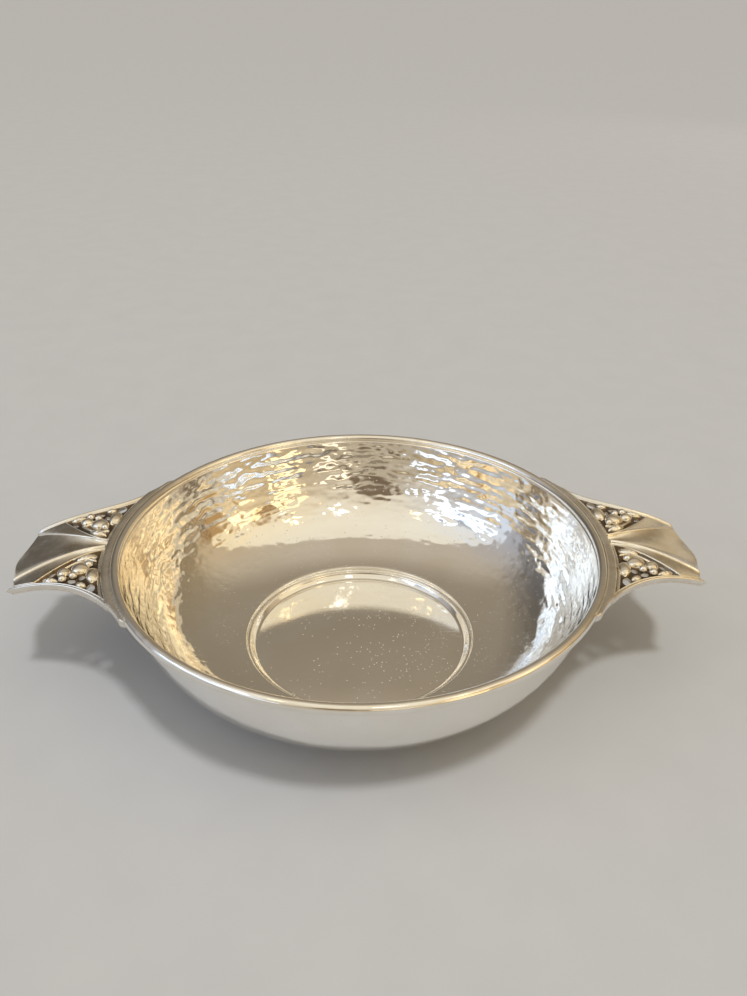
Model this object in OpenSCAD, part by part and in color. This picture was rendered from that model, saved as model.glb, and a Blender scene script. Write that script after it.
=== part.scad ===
// Quaich: a shallow hand-raised silver cup with two flat, pierced lugs.
// The origin is the middle of the foot's underside. +Z is up, the lugs lie along X,
// and the near half of each lug is on the -Y side.

/* [Rim] */
// Diameter of the cup across the outside of the rim wire
rim_d = 127; // [115:1:140]
// Diameter of the rim wire
rim_wire_d = 2.6; // [2.2:0.1:3.2]
// Drop from the middle of the rim wire to the sheet's upper edge
lip_drop = 0.6; // [0.4:0.1:0.8]

/* [Bowl] */
// Thickness of the raised sheet
sheet_t = 1.2; // [0.9:0.1:1.5]
// Depth of the floor at the edge of the well, below the middle of the rim wire
floor_depth = 28.8; // [26:0.1:32]
// Slope of the floor where it leaves the well, in degrees
floor_slope = 8; // [4:1:14]
// Slope of the wall under the rim wire, in degrees
wall_slope = 74; // [68:1:82]
// How far the floor keeps its slope before it turns up
floor_reach = 21.5; // [18:0.5:24]
// How far the wall keeps its slope before it turns in
wall_reach = 17; // [14:0.5:20]

/* [Well] */
// Diameter of the sunk well at the floor
well_d = 63; // [56:1:68]
// Drop from the floor into the well
well_step = 2.6; // [2:0.1:3.2]
// Width of the sloping step round the well
step_run = 2.7; // [2:0.1:3.4]
// Rise of the low dome in the middle of the well
well_dome = 1.2; // [0.8:0.1:1.6]

/* [Foot] */
// Diameter of the foot ring at the table
foot_d = 65; // [63:0.5:67]
// Thickness of the foot ring
foot_t = 1.8; // [1.4:0.1:2.4]
// How far the foot ring leans out towards the table
foot_splay = 0.6; // [0:0.1:1]
// Gap between the table and the edge of the well
foot_gap = 1.9; // [1.5:0.1:2.5]

/* [Lug plate] */
// Length of the quaich from tip to tip
span = 178.8; // [172:0.2:186]
// Thickness of the plate
plate_t = 0.8; // [0.6:0.1:1.2]
// Drop from the middle of the rim wire to the plate's upper face
plate_drop = 0.4; // [0.2:0.1:0.8]
// Distance from the collar to where the plate starts to bend down
bend_start = 1.6; // [0.8:0.1:3]
// Radius of the plate's downward bend, at its upper face
bend_r = 50; // [42:1:65]
// Width of the lug across its two tip corners
tip_w = 28.4; // [26:0.2:31]
// How far the middle of the tip stands out from its corners
tip_bow = 3.2; // [2.6:0.1:3.8]
// Half width of the lug that its hollow edges draw in to
waist_half_w = 16.4; // [15:0.1:18]
// Distance from the rim to where the hollow edge turns outward
sweep_in = 0.5; // [0:0.1:2]
// Distance from the tip to where the hollow edge turns to its corner
sweep_out = 9.4; // [8:0.1:11]

/* [Collar] */
// Width of the collar outside the rim wire
collar_w = 1.9; // [1.5:0.1:2.4]
// Width of the collar at its blunt ends
collar_end_w = 0.9; // [0.6:0.1:1.2]
// Angle from the lug's middle line to each end of the collar
collar_angle = 31.5; // [29:0.5:34]
// Height of the collar above the plate
collar_rise = 1.5; // [1.4:0.05:1.6]

/* [Tongue] */
// Width of the tongue at the collar
tongue_root_w = 2.2; // [1.8:0.1:3]
// Width of the tongue at the tip
tongue_tip_w = 20.6; // [19:0.2:22]
// Height of the tongue along its edges
tongue_edge_h = 1.1; // [0.8:0.1:1.2]
// Height of the tongue along its middle line
tongue_mid_h = 0.35; // [0.3:0.05:0.5]

/* [Wires] */
// Width of each ridge at the collar
ridge_w = 1.6; // [1.3:0.1:1.9]
// Height of each ridge
ridge_h = 1.4; // [1.2:0.1:1.5]
// Width of each border wire
border_w = 1.3; // [1:0.1:1.5]
// Height of each border wire
border_h = 0.9; // [0.7:0.1:1.1]
// Width of the bead along the collar
bead_w = 0.9; // [0.7:0.1:1.1]
// Gap left for solder between neighbours on the plate
seam = 0.05; // [0.03:0.01:0.08]

/* [Sprays] */
// Distance from the tip corner to the pointed end of each pierced panel
panel_gap = 6.2; // [5:0.2:8]
// Width of each stem
stem_w = 0.9; // [0.7:0.1:1.1]
// Height of each stem
stem_h = 0.8; // [0.6:0.1:1]
// Thickness of the leaves
leaf_t = 0.8; // [0.6:0.1:1]
// Diameter of the berries
berry_d = 1.8; // [1.6:0.1:2]

/* [Hidden] */
$fn = 96;
// Fineness of the large round cut that trims a faceted wire
FINE_FN = 720;
SIDES = ["left", "right"];
HALVES = ["near", "far"];
LUG_PARTS = ["collar", "plate", "tongue"];
HALF_PARTS = ["ridge", "border", "bead", "stem", "leaves", "berries"];

BRIGHT_SILVER = [0.86, 0.84, 0.80];
SATIN_SILVER = [0.78, 0.76, 0.72];
WARM_SILVER = [0.82, 0.79, 0.71];

// Halvings in the search for a place along a lug's edge
HALVING_STEPS = 24;
// Points along the bowl's wall, along each edge of a lug, and across a tongue
WALL_STEPS = 24;
EDGE_STEPS = 20;
TONGUE_STEPS = 14;
TONGUE_LANES = 8;
// How quickly the tongue fans out
FAN_EXPONENT = 1.3;
// How quickly each ridge spreads towards the border
RIDGE_EXPONENT = 1.8;
// How sharply the tongue's sides turn up
TROUGH_EXPONENT = 2.4;

rim_r = rim_d / 2;
rim_wire_r = rim_wire_d / 2;
rim_mid_r = rim_r - rim_wire_r;
well_r = well_d / 2;
well_floor_r = well_r - step_run;
well_z = foot_gap + sheet_t;
floor_z = well_z + well_step;
rim_z = floor_z + floor_depth;

plate_top = rim_z - plate_drop;
collar_r = rim_r + collar_w;
bend_x = collar_r + bend_start;
tip_x = span / 2;
corner_x = tip_x - tip_bow;
root_x = collar_r + seam;
// Where each ridge meets the border and the pierced panel ends
panel_end_x = corner_x - panel_gap;
bead_out_r = collar_r + bead_w;

function mix(a, b, t) = a + (b - a) * t;
function turned(v) = [-v.y, v.x];
function unit(v) = v / norm(v);
function bezier(p, t) =
    pow(1 - t, 3) * p[0] + 3 * t * pow(1 - t, 2) * p[1] + 3 * t * t * (1 - t) * p[2] + pow(t, 3) * p[3];
function bezier_dir(p, t) =
    unit(pow(1 - t, 2) * (p[1] - p[0]) + 2 * t * (1 - t) * (p[2] - p[1]) + t * t * (p[3] - p[2]));

// Bowl: the inner line runs up from the well's edge, and the outer line lies one sheet outside it
lip = [rim_mid_r - rim_wire_r, rim_z - lip_drop];
well_edge = [well_r, floor_z];
wall_curve = [
    well_edge,
    well_edge + floor_reach * [cos(floor_slope), sin(floor_slope)],
    lip - wall_reach * [cos(wall_slope), sin(wall_slope)],
    lip
];
step_foot = [well_floor_r, well_z];
step_out = -turned(unit(well_edge - step_foot));
floor_out = [sin(floor_slope), -cos(floor_slope)];
function mitre(p, a, b) = p + sheet_t * (a + b) / (1 + a * b);
function dome_z(r) = well_z + well_dome * (1 - pow(r / well_floor_r, 2));
DOME_STEPS = 6;
dome_line = [for (i = [1 : DOME_STEPS - 1]) let (r = well_floor_r * i / DOME_STEPS) [r, dome_z(r)]];
inner_wall = [for (i = [1 : WALL_STEPS]) bezier(wall_curve, i / WALL_STEPS)];
outer_wall = [
    for (i = [1 : WALL_STEPS])
        let (t = i / WALL_STEPS) bezier(wall_curve, t) - sheet_t * turned(bezier_dir(wall_curve, t))
];
dome_mid_z = dome_line[0].y;
inner_line = concat([[0, dome_mid_z]], dome_line, [step_foot, well_edge], inner_wall);
outer_line = concat(
    [[0, dome_mid_z - sheet_t]],
    [for (p = dome_line) p - [0, sheet_t]],
    [mitre(step_foot, [0, -1], step_out), mitre(well_edge, step_out, floor_out)],
    outer_wall
);
function reversed(list) = [for (i = [len(list) - 1 : -1 : 0]) list[i]];

// Lug: height of the plate's upper face, and a point at height h above it
function plate_z(x) =
    x <= bend_x ? plate_top : plate_top - bend_r + sqrt(pow(bend_r, 2) - pow(x - bend_x, 2));
function plate_tilt(x) = x <= bend_x ? 0 : asin((x - bend_x) / bend_r);
function on_plate(p, h) = [p.x + h * sin(plate_tilt(p.x)), p.y, plate_z(p.x) + h * cos(plate_tilt(p.x))];

// Plan of the lug: a hollow edge from the collar's end to the tip corner, and a bowed tip
edge_curve = [
    (rim_r + collar_end_w) * [cos(collar_angle), sin(collar_angle)],
    [rim_r + sweep_in, waist_half_w],
    [tip_x - sweep_out, waist_half_w],
    [corner_x, tip_w / 2]
];
function edge_inset(t, d) = bezier(edge_curve, t) - d * turned(bezier_dir(edge_curve, t));
function edge_t_at(x, low = 0, high = 1, left = HALVING_STEPS) =
    let (t = (low + high) / 2)
    left == 0 ? t :
    bezier(edge_curve, t).x < x ? edge_t_at(x, t, high, left - 1) : edge_t_at(x, low, t, left - 1);
function tip_line_x(y) = mix(tip_x, corner_x, (1 - cos(360 * y / tip_w)) / 2);
edge_line = [for (i = [0 : EDGE_STEPS]) bezier(edge_curve, i / EDGE_STEPS)];
tip_line = [for (i = [1 : EDGE_STEPS - 1]) let (y = tip_w * (0.5 - i / EDGE_STEPS)) [tip_line_x(y), y]];
plan_heel = lip.x / 2 * [cos(collar_angle), sin(collar_angle)];
lug_outline = concat(
    [plan_heel], edge_line, tip_line,
    [for (p = reversed(edge_line)) [p.x, -p.y]], [[plan_heel.x, -plan_heel.y]]
);

// Tongue and ridge: half width of the tongue, and the ridge's two sides, from the tongue to the border
function along(x, end_x) = max(0, x - root_x) / (end_x - root_x);
function tongue_half_w(x) = mix(tongue_root_w, tongue_tip_w, pow(along(x, corner_x), FAN_EXPONENT)) / 2;
function border_in_y(x) = edge_inset(edge_t_at(x), border_w).y;
function ridge_in_y(x) = tongue_half_w(x) + seam;
function ridge_out_y(x) =
    let (spread = pow(min(1, along(x, panel_end_x)), RIDGE_EXPONENT))
    mix(ridge_in_y(root_x) + ridge_w, border_in_y(x) - seam, spread);

// Panel: u runs from the collar to the tip, v from the ridge to the border
function panel_angle(v) = mix(0, asin(waist_half_w / bead_out_r), v);
function panel_point(p) =
    let (x = mix(bead_out_r * cos(panel_angle(p.y)), panel_end_x, p.x))
    [x, mix(ridge_out_y(x), border_in_y(x), p.y)];
panel_outline = concat(
    [for (i = [0 : EDGE_STEPS]) let (x = mix(collar_r - collar_w, panel_end_x, i / (EDGE_STEPS + 1)))
        [x, ridge_out_y(x) + seam]],
    [for (i = [EDGE_STEPS : -1 : 0]) let (x = mix(rim_r - collar_w, panel_end_x, i / (EDGE_STEPS + 1)))
        [x, border_in_y(x) - seam]]
);

// Spray: each leaf and each opening is [end, end, width over the waist], with its ends in panel places
STEM_RATIO = [[0.02, 0.27], [0.30, 0.08], [0.60, 0.28]];
LEAF_RATIO = [
    [[0.03, 0.118], [0.38, 0.118], 0.12],
    [[0.10, 0.485], [0.43, 0.375], 0.22],
    [[0.045, 0.455], [0.02, 0.765], 0.17],
    [[0.41, 0.53], [0.655, 0.48], 0.165],
    [[0.62, 0.86], [0.88, 0.60], 0.09],
    [[0.127, 0.90], [0.30, 0.915], 0.09]
];
OPENING_RATIO = [
    [[0.05, 0.80], [0.03, 0.965], 0.13],
    [[0.31, 0.85], [0.45, 0.83], 0.09],
    [[0.17, 0.64], [0.255, 0.77], 0.085],
    [[0.685, 0.26], [0.815, 0.31], 0.07]
];
BERRY_RATIO = [[0.13, 0.35], [0.36, 0.685], [0.53, 0.80]];

function bent_path(p, t) = pow(1 - t, 2) * p[0] + 2 * t * (1 - t) * p[1] + t * t * p[2];
stem_path = [for (i = [0 : EDGE_STEPS]) panel_point(bent_path(STEM_RATIO, i / EDGE_STEPS))];
ridge_xs = [for (i = [0 : EDGE_STEPS]) mix(root_x, corner_x - seam, i / EDGE_STEPS)];
border_path = [for (i = [0 : EDGE_STEPS]) edge_inset(i / EDGE_STEPS, border_w / 2)];

// Sections of an applied wire 1 wide and 1 high: half-round, and a ridge with its crest beside the tongue
WIRE_RATIO = [[-0.5, 0], [0.5, 0], [0.5, 0.35], [0.34, 0.76], [0, 1], [-0.34, 0.76], [-0.5, 0.35]];
RIDGE_RATIO = [
    [-0.5, 0], [0.5, 0], [0.5, 0.6], [0.42, 0.9], [0.3, 1],
    [0.15, 0.9], [-0.15, 0.62], [-0.4, 0.42], [-0.5, 0.25]
];

// Shared shapes

function path_dir(path, i) = unit(path[min(i + 1, len(path) - 1)] - path[max(i - 1, 0)]);
function beside(path, d) = [for (i = [0 : len(path) - 1]) path[i] + d * turned(path_dir(path, i))];
function strip(path, w) = concat(beside(path, w / 2), reversed(beside(path, -w / 2)));

// Wire soldered to the plate between two lines, with a section for its profile
module wire(lefts, rights, h, section) {
    n = len(section);
    last = len(lefts) - 1;
    points = [
        for (i = [0 : last]) for (s = section)
            on_plate(mix(lefts[i], rights[i], s.x + 0.5), s.y * h)
    ];
    sides = [
        for (i = [0 : last - 1]) for (j = [0 : n - 1])
            let (a = i * n + j, b = i * n + (j + 1) % n)
            each [[a, a + n, b], [b, a + n, b + n]]
    ];
    ends = [for (j = [1 : n - 2]) each [[0, j, j + 1], [last * n, last * n + j + 1, last * n + j]]];
    polyhedron(points, concat(sides, ends), convexity = 4);
}

// Slab that follows the plate's bend, between two heights above its upper face
module bent_slab(low, high) {
    rotate([90, 0, 0])
        linear_extrude(height = span, center = true) {
            translate([0, plate_top + low])
                square([bend_x, high - low]);
            translate([bend_x, plate_top - bend_r])
                intersection() {
                    difference() {
                        circle(bend_r + high);
                        circle(bend_r + low);
                    }
                    square(bend_r + high);
                }
        }
}

// Everything of a plan that lies between two heights above the plate
module on_plate_solid(low, high) {
    intersection() {
        linear_extrude(height = 2 * rim_z)
            children();
        bent_slab(low, high);
    }
}

// Pointed oval between two ends
module lens(a, b, waist_ratio) {
    length = norm(b - a);
    w = waist_ratio * waist_half_w;
    r = (pow(length, 2) + pow(w, 2)) / (4 * w);
    translate((a + b) / 2)
        rotate(atan2(b.y - a.y, b.x - a.x))
            intersection() {
                translate([0, r - w / 2])
                    circle(r);
                translate([0, w / 2 - r])
                    circle(r);
            }
}

module rim_torus() {
    rotate_extrude()
        translate([rim_mid_r, rim_z])
            circle(rim_wire_r);
}

// The bowl filled to its lip, used to seat what is soldered to it
module bowl_body() {
    rotate_extrude()
        polygon(concat(outer_line, [lip, [0, lip.y]]));
}

module place(side, half = "far") {
    mirror([side == "left" ? 1 : 0, 0, 0])
        mirror([0, half == "near" ? 1 : 0, 0])
            children();
}

// Sub-parts, with each lug piece drawn for the far half of the right lug

module bowl() {
    color(BRIGHT_SILVER)
        difference() {
            rotate_extrude()
                polygon(concat(inner_line, reversed(outer_line)));
            rim_torus();
        }
}

module rim_wire() {
    color(BRIGHT_SILVER)
        rim_torus();
}

module foot_ring() {
    foot_r = foot_d / 2;
    color(SATIN_SILVER)
        difference() {
            rotate_extrude()
                polygon([
                    [foot_r - foot_t, 0], [foot_r, 0],
                    [foot_r - foot_splay, floor_z], [foot_r - foot_splay - foot_t, floor_z]
                ]);
            bowl_body();
        }
}

module collar() {
    color(SATIN_SILVER)
        difference() {
            translate([0, 0, plate_top - plate_t])
                linear_extrude(height = plate_t + collar_rise)
                    intersection() {
                        polygon(lug_outline);
                        circle(collar_r);
                    }
            cylinder(h = 2 * rim_z, r = rim_mid_r);
            rim_torus();
            bowl_body();
        }
}

module plate() {
    color(SATIN_SILVER)
        difference() {
            on_plate_solid(-plate_t, 0)
                difference() {
                    polygon(lug_outline);
                    circle(collar_r);
                }
            for (half = HALVES)
                place("right", half)
                    linear_extrude(height = 2 * rim_z)
                        for (opening = OPENING_RATIO)
                            lens(panel_point(opening[0]), panel_point(opening[1]), opening[2]);
        }
}

module tongue() {
    lanes = TONGUE_LANES + 1;
    rows = TONGUE_STEPS + 1;
    function lane(j) = 2 * j / TONGUE_LANES - 1;
    function plan(i, j) =
        let (end_x = tip_line_x(lane(j) * tongue_tip_w / 2) - seam)
        let (x = mix(root_x, end_x, i / TONGUE_STEPS))
        [x, lane(j) * tongue_half_w(x)];
    function height(j) = mix(tongue_mid_h, tongue_edge_h, pow(abs(lane(j)), TROUGH_EXPONENT));
    top = [for (i = [0 : TONGUE_STEPS]) for (j = [0 : TONGUE_LANES]) on_plate(plan(i, j), height(j))];
    base = [for (i = [0 : TONGUE_STEPS]) for (j = [0 : TONGUE_LANES]) on_plate(plan(i, j), 0)];
    count = rows * lanes;
    skins = [
        for (i = [0 : TONGUE_STEPS - 1]) for (j = [0 : TONGUE_LANES - 1])
            let (a = i * lanes + j, b = a + lanes)
            each [[a, a + 1, b], [a + 1, b + 1, b],
                  [count + a, count + b, count + a + 1], [count + a + 1, count + b, count + b + 1]]
    ];
    rim = concat(
        [for (j = [0 : TONGUE_LANES - 1]) j],
        [for (i = [0 : TONGUE_STEPS - 1]) i * lanes + TONGUE_LANES],
        [for (j = [TONGUE_LANES : -1 : 1]) TONGUE_STEPS * lanes + j],
        [for (i = [TONGUE_STEPS : -1 : 1]) i * lanes]
    );
    walls = [
        for (k = [0 : len(rim) - 1])
            let (a = rim[k], b = rim[(k + 1) % len(rim)])
            each [[a, count + a, b], [b, count + a, count + b]]
    ];
    color(WARM_SILVER)
        polyhedron(concat(top, base), concat(skins, walls), convexity = 4);
}

module ridge() {
    color(WARM_SILVER)
        wire(
            [for (x = ridge_xs) [x, ridge_out_y(x)]], [for (x = ridge_xs) [x, ridge_in_y(x)]],
            ridge_h, RIDGE_RATIO
        );
}

module border() {
    color(SATIN_SILVER)
        difference() {
            wire(beside(border_path, border_w / 2), beside(border_path, -border_w / 2), border_h, WIRE_RATIO);
            cylinder(h = 2 * rim_z, r = root_x, $fn = FINE_FN);
        }
}

module bead() {
    color(SATIN_SILVER)
        intersection() {
            rotate_extrude()
                translate([collar_r + seam + bead_w / 2, plate_top])
                    intersection() {
                        circle(d = bead_w);
                        translate([-bead_w / 2, 0])
                            square(bead_w);
                    }
            linear_extrude(height = 2 * rim_z)
                polygon(panel_outline);
        }
}

module stem() {
    color(WARM_SILVER)
        wire(beside(stem_path, stem_w / 2), beside(stem_path, -stem_w / 2), stem_h, WIRE_RATIO);
}

module leaves() {
    color(WARM_SILVER)
        on_plate_solid(0, leaf_t)
            difference() {
                intersection() {
                    for (leaf = LEAF_RATIO)
                        lens(panel_point(leaf[0]), panel_point(leaf[1]), leaf[2]);
                    polygon(panel_outline);
                }
                polygon(strip(stem_path, stem_w + 2 * seam));
                circle(bead_out_r + 2 * seam);
            }
}

module berries() {
    color(BRIGHT_SILVER)
        difference() {
            for (berry = BERRY_RATIO)
                translate(on_plate(panel_point(berry), berry_d / 4))
                    sphere(d = berry_d);
            bent_slab(-berry_d, 0);
        }
}

bowl();
rim_wire();
foot_ring();
for (side = SIDES) {
    place(side) collar();
    place(side) plate();
    place(side) tongue();
    for (half = HALVES) {
        place(side, half) ridge();
        place(side, half) border();
        place(side, half) bead();
        place(side, half) stem();
        place(side, half) leaves();
        place(side, half) berries();
    }
}
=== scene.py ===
import math

import bmesh
import bpy
import numpy as np
from mathutils import Matrix, Vector


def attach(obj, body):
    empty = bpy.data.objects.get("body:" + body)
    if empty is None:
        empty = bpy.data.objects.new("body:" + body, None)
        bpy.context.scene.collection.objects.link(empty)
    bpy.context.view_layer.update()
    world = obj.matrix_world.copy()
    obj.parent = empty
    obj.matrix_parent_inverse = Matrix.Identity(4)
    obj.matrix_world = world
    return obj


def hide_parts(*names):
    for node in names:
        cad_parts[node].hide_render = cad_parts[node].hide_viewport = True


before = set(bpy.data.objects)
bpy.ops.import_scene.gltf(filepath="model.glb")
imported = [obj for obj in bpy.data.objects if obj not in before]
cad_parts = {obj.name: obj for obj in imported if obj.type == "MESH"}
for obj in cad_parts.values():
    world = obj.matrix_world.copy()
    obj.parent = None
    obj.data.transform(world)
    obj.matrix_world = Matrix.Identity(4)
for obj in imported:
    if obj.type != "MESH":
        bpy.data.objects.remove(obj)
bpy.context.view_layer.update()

# Lengths are in millimetres until a mesh is made, and named angles in degrees unless radians are stated
MM = 0.001

# Sizes of the part, as in its source
RIM_MID_R, RIM_WIRE_R, RIM_Z = 62.2, 1.3, 34.5
RIM_R = RIM_MID_R + RIM_WIRE_R
SHEET_T = 1.2
LIP = np.array([60.9, 33.9])
FLOOR_SLOPE, FLOOR_REACH = 8, 21.5
WALL_SLOPE, WALL_REACH = 74, 17
WELL_R, WELL_FLOOR_R, WELL_Z, FLOOR_Z, WELL_DOME = 31.5, 28.8, 3.1, 5.7, 1.2
FOOT_R, FOOT_T, FOOT_SPLAY = 32.5, 1.8, 0.6
PLATE_T, PLATE_TOP = 0.8, 34.1
COLLAR_R, COLLAR_ANGLE, COLLAR_END_W, COLLAR_RISE = 65.4, 31.5, 0.9, 1.5
BEND_X, BEND_R = 67.0, 50.0
TIP_X, CORNER_X, TIP_W = 89.4, 86.2, 28.4
WAIST_HALF_W, SWEEP_IN, SWEEP_OUT = 16.4, 0.5, 9.4
SEAM = 0.05
ROOT_X = COLLAR_R + SEAM
TONGUE_ROOT_W, TONGUE_TIP_W, TONGUE_EDGE_H, TONGUE_MID_H = 2.2, 20.6, 1.1, 0.35
FAN_EXPONENT, RIDGE_EXPONENT = 1.3, 1.8
RIDGE_W, RIDGE_H = 1.6, 1.4
BORDER_W, BORDER_H = 1.3, 0.9
BEAD_W = 0.9
BEAD_OUT_R = COLLAR_R + BEAD_W
PANEL_GAP = 6.2
PANEL_END_X = CORNER_X - PANEL_GAP
STEM_W, STEM_H, BERRY_D = 0.9, 0.8, 1.8
STEM = [[0.02, 0.27], [0.30, 0.08], [0.60, 0.28]]
# Each leaf is [base, tip, width over half the waist's width]
LEAVES = [
    [[0.03, 0.118], [0.38, 0.118], 0.12],
    [[0.10, 0.485], [0.43, 0.375], 0.22],
    [[0.045, 0.455], [0.02, 0.765], 0.17],
    [[0.41, 0.53], [0.655, 0.48], 0.165],
    [[0.62, 0.86], [0.88, 0.60], 0.09],
    [[0.127, 0.90], [0.30, 0.915], 0.09],
]
BERRIES = [[0.13, 0.35], [0.36, 0.685], [0.53, 0.80]]

# The photograph's camera, in the quaich's own frame
IMAGE_H = 996
FOCAL_PX = 900
SENSOR_MM = 36
CAMERA_MM = (-3.44, -198.29, 161.01)
YAW, PITCH, ROLL = 2.0, 29.69, 0.48


# Plane geometry of the part

def unit(v):
    return v / np.linalg.norm(v)


def turned(v):
    return np.array([-v[1], v[0]])


def slope_dir(degrees):
    return np.array([math.cos(math.radians(degrees)), math.sin(math.radians(degrees))])


def bezier(p, t):
    return (1 - t) ** 3 * p[0] + 3 * t * (1 - t) ** 2 * p[1] + 3 * t * t * (1 - t) * p[2] + t ** 3 * p[3]


def bezier_dir(p, t):
    return unit((1 - t) ** 2 * (p[1] - p[0]) + 2 * t * (1 - t) * (p[2] - p[1]) + t * t * (p[3] - p[2]))


def smoothstep(low, high, x):
    t = np.clip((x - low) / (high - low), 0, 1)
    return t * t * (3 - 2 * t)


WELL_EDGE = np.array([WELL_R, FLOOR_Z])
WALL_CURVE = [
    WELL_EDGE,
    WELL_EDGE + FLOOR_REACH * slope_dir(FLOOR_SLOPE),
    LIP - WALL_REACH * slope_dir(WALL_SLOPE),
    LIP,
]
EDGE_CURVE = [
    (RIM_R + COLLAR_END_W) * slope_dir(COLLAR_ANGLE),
    np.array([RIM_R + SWEEP_IN, WAIST_HALF_W]),
    np.array([TIP_X - SWEEP_OUT, WAIST_HALF_W]),
    np.array([CORNER_X, TIP_W / 2]),
]
HALVINGS = 30


def plate_z(x):
    return PLATE_TOP if x <= BEND_X else PLATE_TOP - BEND_R + math.sqrt(BEND_R ** 2 - (x - BEND_X) ** 2)


def on_plate(p, h):
    """Point at height h above the plate's upper face, over the plan point p."""
    tilt = 0 if p[0] <= BEND_X else math.asin((p[0] - BEND_X) / BEND_R)
    return (p[0] + h * math.sin(tilt), p[1], plate_z(p[0]) + h * math.cos(tilt))


def edge_inset(t, d):
    return bezier(EDGE_CURVE, t) - d * turned(bezier_dir(EDGE_CURVE, t))


def edge_t(before):
    """Place on the plate's edge at which before(point) stops being true."""
    low, high = 0.0, 1.0
    for _ in range(HALVINGS):
        t = (low + high) / 2
        if before(bezier(EDGE_CURVE, t)):
            low = t
        else:
            high = t
    return (low + high) / 2


def tip_line_x(y):
    return TIP_X + (CORNER_X - TIP_X) * (1 - math.cos(2 * math.pi * y / TIP_W)) / 2


def along(x, end_x):
    return max(0.0, x - ROOT_X) / (end_x - ROOT_X)


def tongue_half_w(x):
    return (TONGUE_ROOT_W + (TONGUE_TIP_W - TONGUE_ROOT_W) * along(x, CORNER_X) ** FAN_EXPONENT) / 2


def border_in_y(x):
    return edge_inset(edge_t(lambda p: p[0] < x), BORDER_W)[1]


def ridge_in_y(x):
    return tongue_half_w(x) + SEAM


def ridge_out_y(x):
    start = ridge_in_y(ROOT_X) + RIDGE_W
    return start + (border_in_y(x) - SEAM - start) * min(1.0, along(x, PANEL_END_X)) ** RIDGE_EXPONENT


def panel_point(place):
    """Plan point of a panel place: u runs from the collar to the tip, v from the ridge to the border."""
    u, v = place
    start = BEAD_OUT_R * math.cos(math.asin(WAIST_HALF_W / BEAD_OUT_R) * v)
    x = start + (PANEL_END_X - start) * u
    return np.array([x, ridge_out_y(x) + (border_in_y(x) - ridge_out_y(x)) * v])


# Mesh tools

# How far a hammer mark may stand from its cell's middle, in cells
MARK_SHIFT_U, MARK_SHIFT_V = 0.36, 0.34
# Number of waves that are added up, and the range of their lengths over the stated one
WAVE_COUNT, WAVE_SPREAD = 14, (0.7, 1.5)


def link_mesh(name, verts, faces, uvs=None):
    """Mesh object from points in millimetres, with its normals pointing out."""
    mesh = bpy.data.meshes.new(name)
    mesh.from_pydata([tuple(v) for v in np.asarray(verts) * MM], [], faces)
    if uvs is not None:
        layer = mesh.uv_layers.new(name="UVMap")
        corners = np.zeros(len(mesh.loops), np.int32)
        mesh.loops.foreach_get("vertex_index", corners)
        layer.data.foreach_set("uv", np.asarray(uvs, np.float32)[corners].ravel())
    face_out(mesh)
    mesh.shade_smooth()
    obj = bpy.data.objects.new(name, mesh)
    bpy.context.scene.collection.objects.link(obj)
    return obj


def face_out(mesh, join_within=None):
    """Turns a mesh's normals out, after joining points that are nearer than a distance in metres."""
    work = bmesh.new()
    work.from_mesh(mesh)
    if join_within:
        bmesh.ops.remove_doubles(work, verts=work.verts, dist=join_within)
    bmesh.ops.recalc_face_normals(work, faces=work.faces)
    work.to_mesh(mesh)
    work.free()


def dress(obj, material, slot, *nodes):
    """Gives a piece its material, and puts it in the place of CAD nodes."""
    obj.data.materials.append(material)
    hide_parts(*nodes)
    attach(obj, "root")


def run_lengths(path):
    """Length of a path up to each of its points."""
    return np.concatenate([[0], np.cumsum(np.linalg.norm(np.diff(path, axis=0), axis=1))])


def resample(line, step):
    lengths = run_lengths(line)
    places = np.linspace(0, lengths[-1], int(round(lengths[-1] / step)) + 1)
    return np.stack([np.interp(places, lengths, line[:, i]) for i in range(2)], 1)


def soften(line, sigma):
    """Rounds a line's corners with a Gaussian of sigma samples, and keeps its ends."""
    reach = int(4 * sigma)
    weights = np.exp(-0.5 * (np.arange(-reach, reach + 1) / sigma) ** 2)
    weights /= weights.sum()
    head = 2 * line[0] - line[reach:0:-1]
    tail = 2 * line[-1] - line[-2:-reach - 2:-1]
    padded = np.concatenate([head, line, tail])
    return np.stack([np.convolve(padded[:, i], weights, mode="valid") for i in range(2)], 1)


def path_dirs(path):
    d = np.gradient(path, axis=0)
    return d / np.linalg.norm(d, axis=1)[:, None]


def line_normals(line):
    """Unit normals on the left of a line's direction."""
    d = path_dirs(line)
    return np.stack([-d[:, 1], d[:, 0]], 1)


def hammer_cells(u, v, du, dv, period, seed):
    """Squared distance to the nearest hammer mark's middle, over a strip that closes on itself along u."""
    count = int(round(period / du))
    du = period / count
    rows = int(math.ceil(v.max() / dv)) + 3
    rng = np.random.default_rng(seed)
    shift_u = rng.uniform(-MARK_SHIFT_U, MARK_SHIFT_U, (rows, count))
    shift_v = rng.uniform(-MARK_SHIFT_V, MARK_SHIFT_V, (rows, count))
    cell_u = np.floor(u / du).astype(int)
    cell_v = np.floor(v / dv).astype(int)
    best = np.full(u.shape, 1e9)
    for a in range(-2, 3):
        for b in (-1, 0, 1):
            cu = cell_u + a
            cv = np.clip(cell_v + b, 0, rows - 1)
            x = (cu + 0.5 * (cv % 2) + 0.5 + shift_u[cv, cu % count]) * du
            y = (cell_v + b + 0.5 + shift_v[cv, cu % count]) * dv
            best = np.minimum(best, (u - x) ** 2 + (v - y) ** 2)
    return best


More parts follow.
